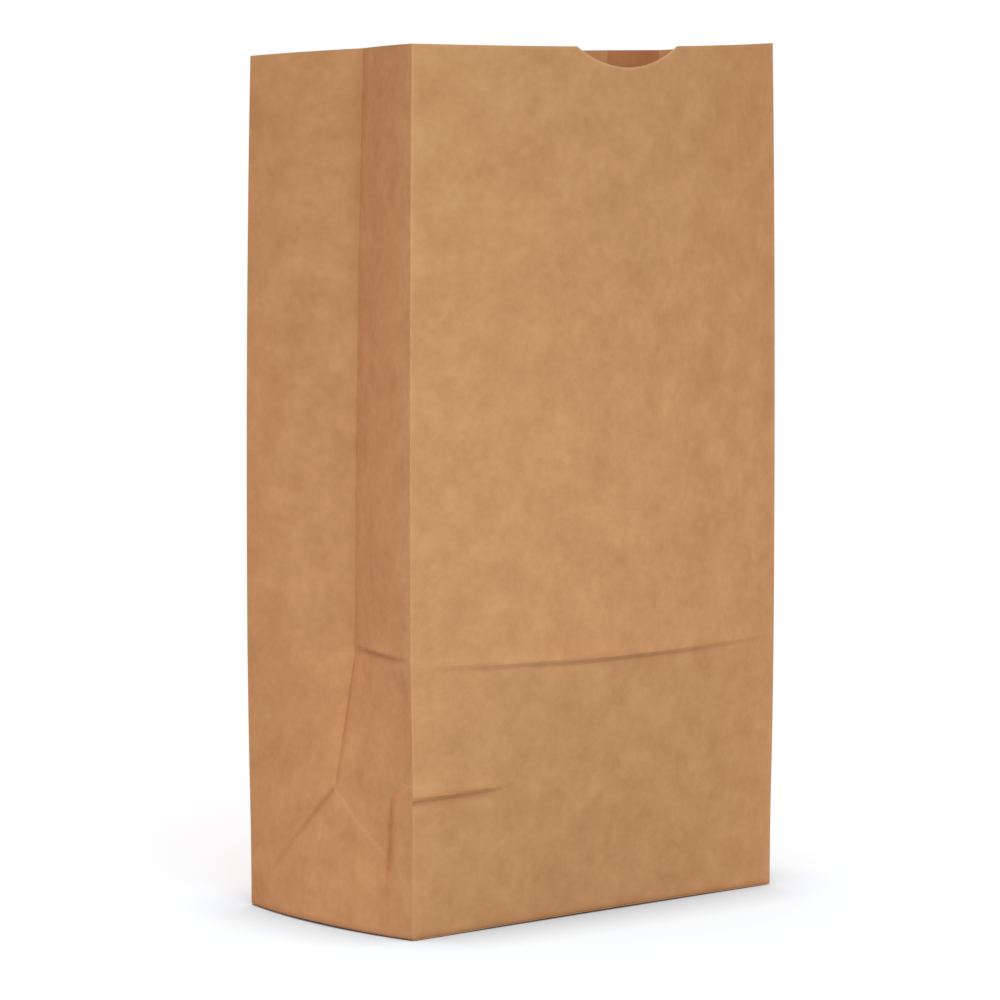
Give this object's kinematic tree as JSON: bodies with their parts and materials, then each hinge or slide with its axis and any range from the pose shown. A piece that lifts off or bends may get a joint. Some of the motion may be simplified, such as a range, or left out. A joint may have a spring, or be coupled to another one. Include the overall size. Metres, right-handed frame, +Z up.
{
  "type": "paper lunch bag",
  "caption": "Brown kraft paper lunch bag standing open, with pleated side gussets, a pasted flat bottom and a thumb notch in the front rim.",
  "frame": {"origin": "middle of the base, on the surface that the bag stands on", "axes": "+Z up towards the mouth, +X along the wide panels, -Y out of the front panel with the thumb notch"},
  "size_m": [0.1542, 0.1108, 0.276],
  "materials": {
    "kraft_paper": "uncoated, matt, with fine cloudy fibre"
  },
  "bodies": {
    "root": {"paper_bag": "kraft_paper"}
  },
  "joints": []
}
